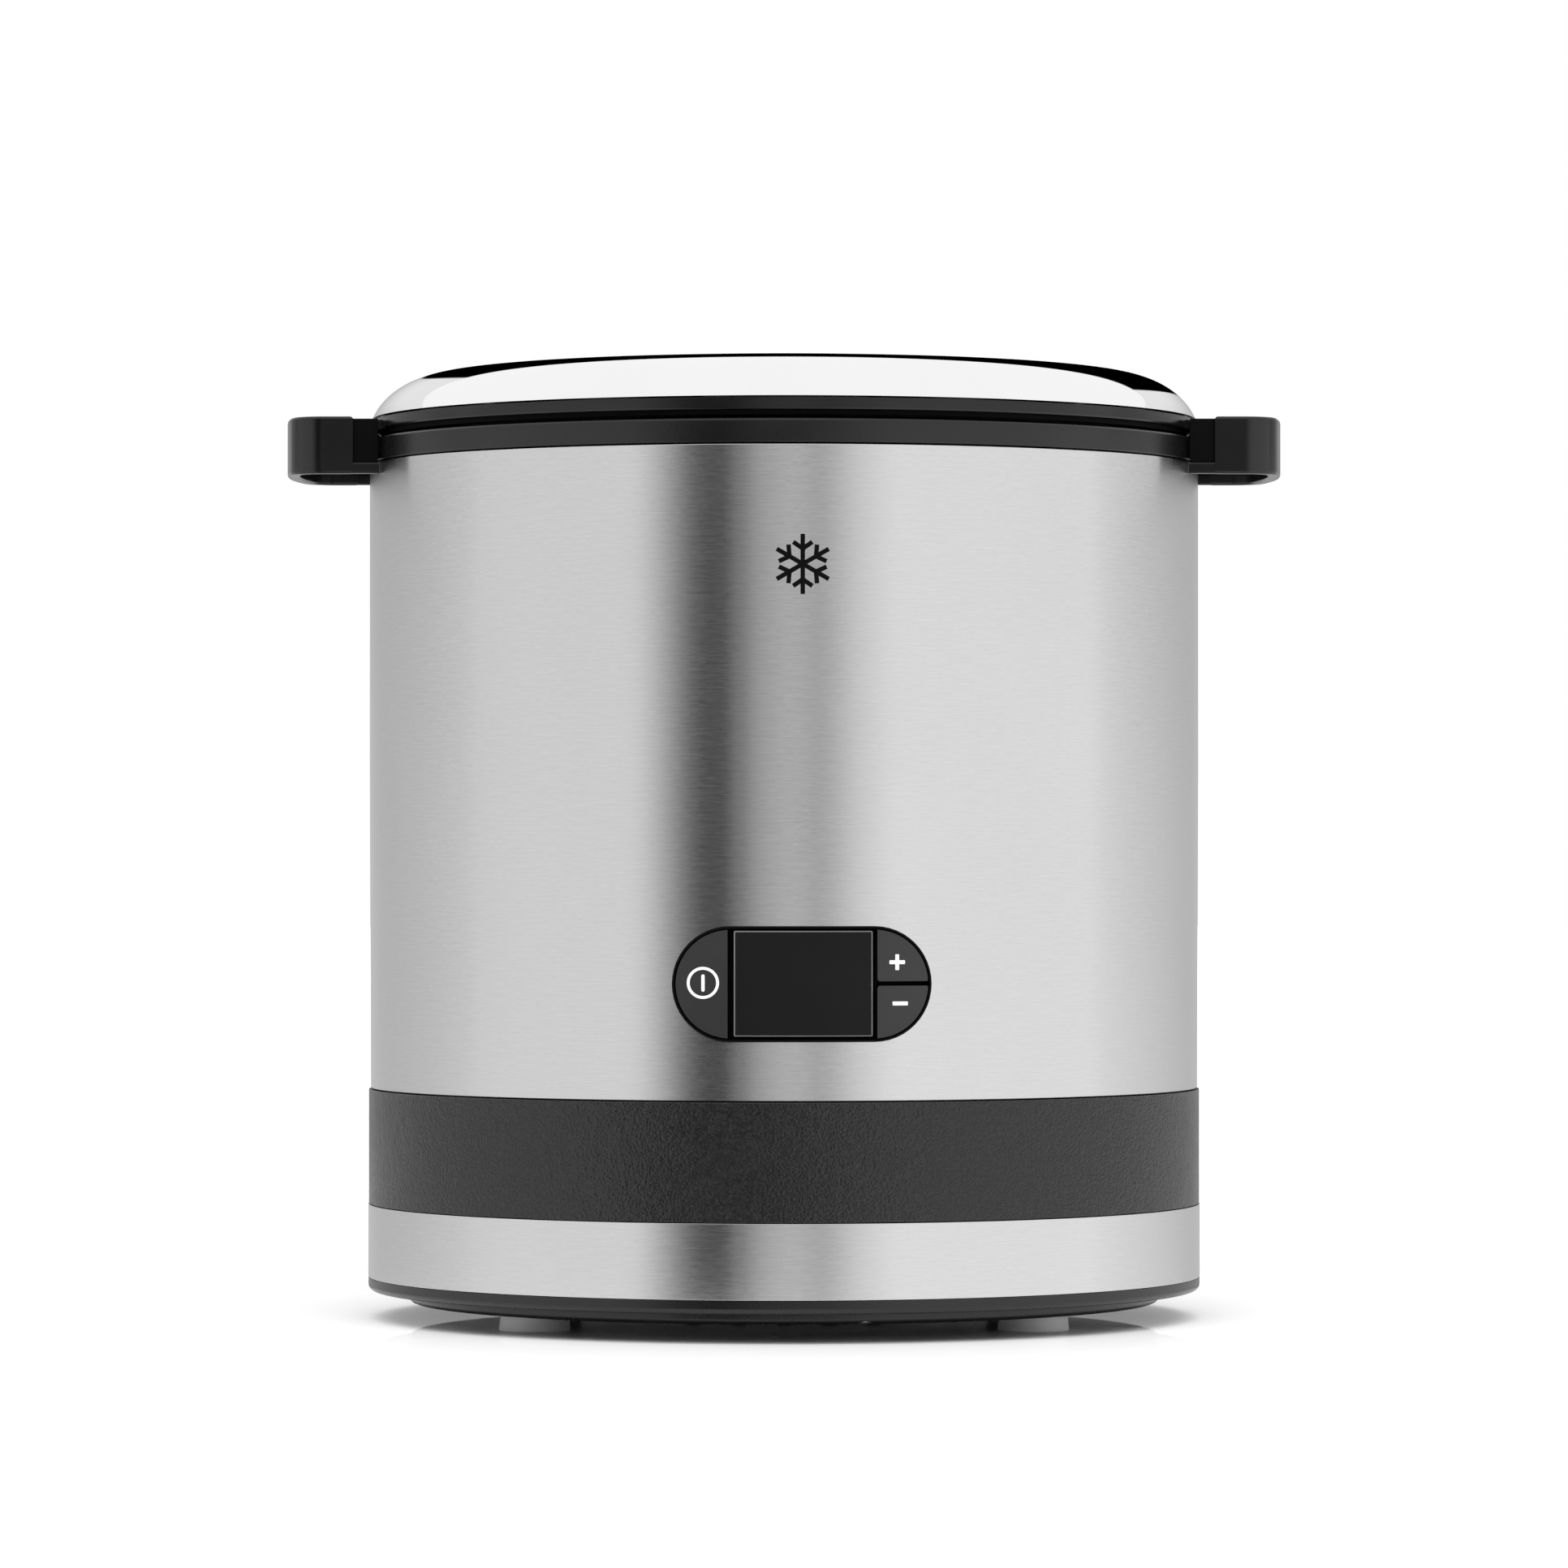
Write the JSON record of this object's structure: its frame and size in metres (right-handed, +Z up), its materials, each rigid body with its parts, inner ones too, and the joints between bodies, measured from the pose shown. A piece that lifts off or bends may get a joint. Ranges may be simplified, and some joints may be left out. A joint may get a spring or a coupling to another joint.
{
  "type": "ice cream maker",
  "caption": "Compact round ice cream maker: turning freezer bowl in a brushed steel housing, domed twist-lock lid with finger loops and a still paddle, small timer panel.",
  "frame": {"origin": "on the table under the middle of the body", "axes": "+Z up, +X to the right along the lid's two finger loops, -Y towards the control panel"},
  "size_m": [0.1744, 0.1456, 0.167],
  "materials": {
    "brushed_steel": "fine horizontal brushing",
    "polished_steel": "mirror polished",
    "black_plastic": "smooth moulded, low sheen",
    "grained_plastic": "moulded leather grain",
    "key_plastic": "fine texture with pale printed marks",
    "pale_plastic": "smooth moulded",
    "gear_plastic": "smooth moulded",
    "bowl_plastic": "smooth moulded",
    "aluminium": "spun, lightly brushed",
    "silicone": "soft matt",
    "foot_rubber": "soft matt",
    "dark_rubber": "soft matt",
    "display_glass": "smoked and glossy",
    "coolant": "translucent gel",
    "circuit_board": "solder mask",
    "plain_steel": "turned",
    "laminated_iron": "lacquered",
    "bronze": "sintered"
  },
  "bodies": {
    "housing": {"base_plate": "black_plastic", "base_pan": "black_plastic", "base_ring": "brushed_steel", "base_band": "grained_plastic", "cord_gland": "dark_rubber", "foot_front_left": "foot_rubber", "foot_front_right": "foot_rubber", "foot_rear_left": "foot_rubber", "foot_rear_right": "foot_rubber", "base_screw_1": "plain_steel", "base_screw_2": "plain_steel", "base_screw_3": "plain_steel", "base_screw_4": "plain_steel", "body_shell": "brushed_steel", "top_collar": "black_plastic", "bowl_well": "black_plastic", "shaft_seal": "dark_rubber", "gearbox_case": "pale_plastic", "gearbox_cover": "pale_plastic", "spindle_bush": "bronze", "lay_axle": "plain_steel", "motor_can": "plain_steel", "power_board": "circuit_board", "transformer": "laminated_iron", "capacitor": "aluminium", "panel_harness": "silicone", "motor_lead": "dark_rubber", "panel_bezel": "black_plastic", "display_window": "display_glass", "display_module": "pale_plastic", "control_board": "circuit_board", "power_switch": "dark_rubber", "plus_switch": "dark_rubber", "minus_switch": "dark_rubber"},
    "bowl_seat": {"glide_ring": "pale_plastic"},
    "bowl": {"bowl_hub": "bowl_plastic", "bowl_outer": "bowl_plastic", "bowl_liner": "aluminium", "coolant_gel": "coolant", "bowl_rim": "bowl_plastic"},
    "spindle": {"drive_spindle": "plain_steel", "drive_coupling": "gear_plastic", "output_gear": "gear_plastic"},
    "layshaft": {"lay_gear": "gear_plastic"},
    "rotor": {"motor_axle": "plain_steel", "motor_pinion": "gear_plastic"},
    "paddle_body": {"paddle": "pale_plastic"},
    "lid": {"lid_ring": "black_plastic", "lid_dome": "polished_steel", "lid_liner": "pale_plastic", "lid_seal": "silicone"},
    "cap": {"filler_cap": "black_plastic"},
    "power_button": {"power_key": "key_plastic"},
    "plus_button": {"plus_key": "key_plastic"},
    "minus_button": {"minus_key": "key_plastic"}
  },
  "joints": [
    {"name": "bowl_lift", "type": "slide", "parent": "housing", "child": "bowl_seat", "axis": [0, 0, 1], "range_m": [0, 0.108]},
    {"name": "bowl_spin", "type": "hinge", "parent": "bowl_seat", "child": "bowl", "pos_m": [0, 0, 0], "axis": [0, 0, 1], "continuous": true},
    {"name": "spindle_spin", "type": "hinge", "parent": "housing", "child": "spindle", "pos_m": [0, 0, 0], "axis": [0, 0, 1], "continuous": true},
    {"name": "layshaft_spin", "type": "hinge", "parent": "housing", "child": "layshaft", "pos_m": [0, 0.02612, 0], "axis": [0, 0, 1], "continuous": true},
    {"name": "rotor_spin", "type": "hinge", "parent": "housing", "child": "rotor", "pos_m": [-0.02175, 0.03868, 0], "axis": [0, 0, 1], "continuous": true},
    {"name": "lid_lift", "type": "slide", "parent": "bowl_seat", "child": "paddle_body", "axis": [0, 0, 1], "range_m": [0, 0.092]},
    {"name": "lid_turn", "type": "hinge", "parent": "paddle_body", "child": "lid", "pos_m": [0, 0, 0], "axis": [0, 0, 1], "range_deg": [-15, 0]},
    {"name": "cap_lift", "type": "slide", "parent": "lid", "child": "cap", "axis": [0, 0, 1], "range_m": [0, 0.02]},
    {"name": "power_press", "type": "slide", "parent": "housing", "child": "power_button", "axis": [-0.0427, 0.9991, 0], "range_m": [0, 0.0005], "stiffness_N_per_m": 600, "springref_m": -0.0005},
    {"name": "plus_press", "type": "slide", "parent": "housing", "child": "plus_button", "axis": [-0.0427, 0.9991, 0], "range_m": [0, 0.0005], "stiffness_N_per_m": 600, "springref_m": -0.0005},
    {"name": "minus_press", "type": "slide", "parent": "housing", "child": "minus_button", "axis": [-0.0427, 0.9991, 0], "range_m": [0, 0.0005], "stiffness_N_per_m": 600, "springref_m": -0.0005}
  ],
  "couplings": [
    {"joint": "spindle_spin", "follows": "bowl_spin", "ratio": 1},
    {"joint": "layshaft_spin", "follows": "bowl_spin", "ratio": -3.3333},
    {"joint": "rotor_spin", "follows": "bowl_spin", "ratio": 13.333}
  ]
}
